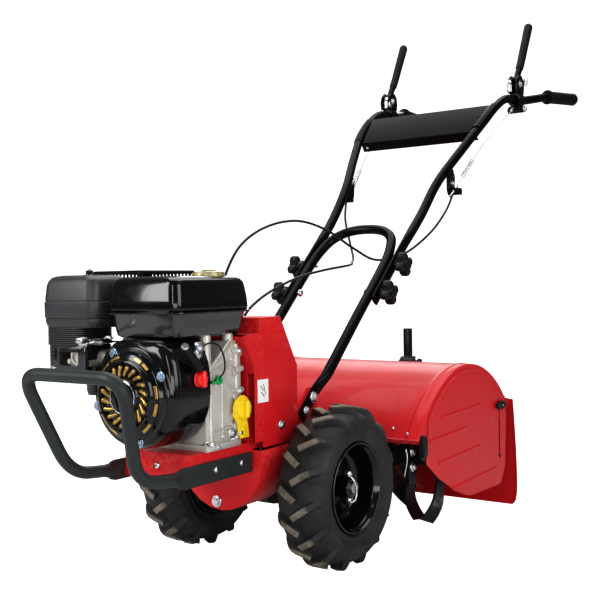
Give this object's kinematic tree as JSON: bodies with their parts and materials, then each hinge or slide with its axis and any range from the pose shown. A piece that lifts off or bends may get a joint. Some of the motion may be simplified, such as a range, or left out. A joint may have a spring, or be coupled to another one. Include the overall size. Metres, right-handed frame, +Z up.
{
  "type": "rear-tine rotary tiller",
  "caption": "Walk-behind petrol tiller with a front engine, two driven cleated wheels, a hooded rear tine rotor and a long bolted handlebar with upright clutch levers.",
  "frame": {"origin": "middle of the bounding box in X and Y, on the ground", "axes": "+Z up, +Y towards the operator's grips, +X to the machine's left side"},
  "size_m": [0.606, 1.888, 1.4029],
  "materials": {
    "red_paint": "gloss",
    "black_paint": "gloss",
    "slate_paint": "satin",
    "cast_alloy": "as cast",
    "steel": "satin",
    "cast_black": "satin",
    "black_plastic": "matt",
    "grey_plastic": "satin",
    "red_plastic": "gloss",
    "yellow_plastic": "gloss",
    "rubber": "matt",
    "tyre": "matt",
    "gold_plate": "satin",
    "iron": "machined"
  },
  "bodies": {
    "chassis": {"chassis_frame": "red_paint", "transmission_case": "red_paint", "belt_cover": "red_paint", "bumper_guard": "slate_paint", "engine_block": "cast_alloy", "crankcase_cover": "cast_alloy", "cylinder_head": "cast_alloy", "fan_cover": "black_paint", "recoil_cover": "black_paint", "air_screen": "gold_plate", "fuel_tank": "black_paint", "air_cleaner_cover": "grey_plastic", "air_cleaner_base": "black_plastic", "carburettor": "cast_alloy", "muffler": "steel", "muffler_guard": "black_paint", "gearcase": "cast_black", "tine_gearcase": "cast_black", "tine_hood": "red_paint", "stake_bracket": "black_paint", "lower_handlebar": "black_paint", "drive_belt": "rubber", "clutch_cable_left": "black_plastic", "clutch_cable_right": "black_plastic"},
    "crank": {"crankshaft": "steel", "flywheel": "iron", "crank_pulley": "steel"},
    "drive_line": {"drive_shaft": "steel", "driven_pulley": "steel"},
    "wheels": {"wheel_axle": "steel", "rim_left": "black_paint", "rim_right": "black_paint", "tyre_left": "tyre", "tyre_right": "tyre"},
    "rotor": {"tine_shaft": "steel", "tines_left": "black_paint", "tines_right": "black_paint"},
    "idler": {"idler_arm": "steel"},
    "throttle": {"throttle_lever": "steel"},
    "cap": {"fuel_cap": "gold_plate"},
    "switch": {"ignition_switch": "red_plastic"},
    "dipstick": {"oil_dipstick": "yellow_plastic"},
    "starter": {"starter_handle": "black_plastic"},
    "handle": {"upper_handlebar_left": "black_paint", "upper_handlebar_right": "black_paint", "console_plate": "black_paint", "grip_left": "rubber", "grip_right": "rubber", "lever_mount_left": "black_paint", "lever_mount_right": "black_paint"},
    "lever_left": {"clutch_lever_left": "black_paint"},
    "lever_right": {"clutch_lever_right": "black_paint"},
    "lower_knob_left": {"lower_knob_left": "black_plastic"},
    "lower_knob_right": {"lower_knob_right": "black_plastic"},
    "upper_knob_left": {"upper_knob_left": "black_plastic"},
    "upper_knob_right": {"upper_knob_right": "black_plastic"},
    "flap": {"rear_flap": "red_paint"},
    "shield_left": {"side_shield_left": "red_paint"},
    "shield_right": {"side_shield_right": "red_paint"},
    "stake": {"depth_stake": "black_paint"}
  },
  "joints": [
    {"name": "wheel_spin", "type": "hinge", "parent": "chassis", "child": "wheels", "pos_m": [0, -0.35157, 0.1774], "axis": [1, 0, 0], "continuous": true},
    {"name": "tine_spin", "type": "hinge", "parent": "chassis", "child": "rotor", "pos_m": [0, 0.08843, 0.1694], "axis": [1, 0, 0], "continuous": true},
    {"name": "drive_shaft_spin", "type": "hinge", "parent": "chassis", "child": "drive_line", "pos_m": [0, -0.35157, 0.2354], "axis": [0, 1, 0], "continuous": true},
    {"name": "crank_spin", "type": "hinge", "parent": "chassis", "child": "crank", "pos_m": [0, -0.35157, 0.4074], "axis": [0, 1, 0], "continuous": true},
    {"name": "idler_swing", "type": "hinge", "parent": "chassis", "child": "idler", "pos_m": [0.099, -0.47657, 0.3464], "axis": [0, 1, 0], "range_deg": [0, 16], "stiffness_Nm_per_rad": 0.6, "springref_deg": -22.92},
    {"name": "throttle_swing", "type": "hinge", "parent": "chassis", "child": "throttle", "pos_m": [-0.1, -0.73957, 0.5144], "axis": [0, 0, -1], "range_deg": [0, 40]},
    {"name": "fuel_cap_turn", "type": "hinge", "parent": "chassis", "child": "cap", "pos_m": [0.046, -0.59757, 0.6334], "axis": [0, 0, 1], "range_deg": [0, 90]},
    {"name": "ignition_turn", "type": "hinge", "parent": "chassis", "child": "switch", "pos_m": [0.112, -0.70556, 0.4384], "axis": [1, 0, 0], "range_deg": [0, 60]},
    {"name": "dipstick_turn", "type": "hinge", "parent": "chassis", "child": "dipstick", "pos_m": [0.09, -0.55756, 0.3634], "axis": [1, 0, 0], "continuous": true},
    {"name": "starter_pull", "type": "slide", "parent": "chassis", "child": "starter", "axis": [0.799, -0.4494, 0.3995], "range_m": [0, 0.3], "stiffness_N_per_m": 40, "springref_m": -0.05},
    {"name": "handle_fold", "type": "hinge", "parent": "chassis", "child": "handle", "pos_m": [0, -0.05956, 0.5924], "axis": [1, 0, 0], "range_deg": [0, 110], "deforming": ["clutch_cable_left", "clutch_cable_right"]},
    {"name": "clutch_lever_left_swing", "type": "hinge", "parent": "handle", "child": "lever_left", "pos_m": [0.216, 0.62443, 1.1964], "axis": [-1, 0, 0], "range_deg": [0, 50], "stiffness_Nm_per_rad": 3, "springref_deg": -22.92},
    {"name": "clutch_lever_right_swing", "type": "hinge", "parent": "handle", "child": "lever_right", "pos_m": [-0.216, 0.62443, 1.1964], "axis": [-1, 0, 0], "range_deg": [0, 50], "stiffness_Nm_per_rad": 3, "springref_deg": -22.92},
    {"name": "lower_knob_left_turn", "type": "hinge", "parent": "chassis", "child": "lower_knob_left", "pos_m": [0.15, -0.05956, 0.5924], "axis": [1, 0, 0], "continuous": true},
    {"name": "lower_knob_right_turn", "type": "hinge", "parent": "chassis", "child": "lower_knob_right", "pos_m": [-0.15, -0.05956, 0.5924], "axis": [1, 0, 0], "continuous": true},
    {"name": "upper_knob_left_turn", "type": "hinge", "parent": "handle", "child": "upper_knob_left", "pos_m": [0.15, 0.01544, 0.6614], "axis": [1, 0, 0], "continuous": true},
    {"name": "upper_knob_right_turn", "type": "hinge", "parent": "handle", "child": "upper_knob_right", "pos_m": [-0.15, 0.01544, 0.6614], "axis": [1, 0, 0], "continuous": true},
    {"name": "rear_flap_swing", "type": "hinge", "parent": "chassis", "child": "flap", "pos_m": [0, 0.36444, 0.2934], "axis": [1, 0, 0], "range_deg": [0, 75]},
    {"name": "side_shield_left_slide", "type": "slide", "parent": "chassis", "child": "shield_left", "axis": [0, 0, 1], "range_m": [0, 0.12]},
    {"name": "side_shield_right_slide", "type": "slide", "parent": "chassis", "child": "shield_right", "axis": [0, 0, 1], "range_m": [0, 0.12]},
    {"name": "depth_stake_slide", "type": "slide", "parent": "chassis", "child": "stake", "axis": [0, 0, 1], "range_m": [0, 0.1]}
  ],
  "couplings": [
    {"joint": "drive_shaft_spin", "follows": "wheel_spin", "ratio": 12},
    {"joint": "tine_spin", "follows": "wheel_spin", "ratio": 4},
    {"joint": "idler_swing", "follows": "clutch_lever_left_swing", "ratio": 0.32}
  ]
}
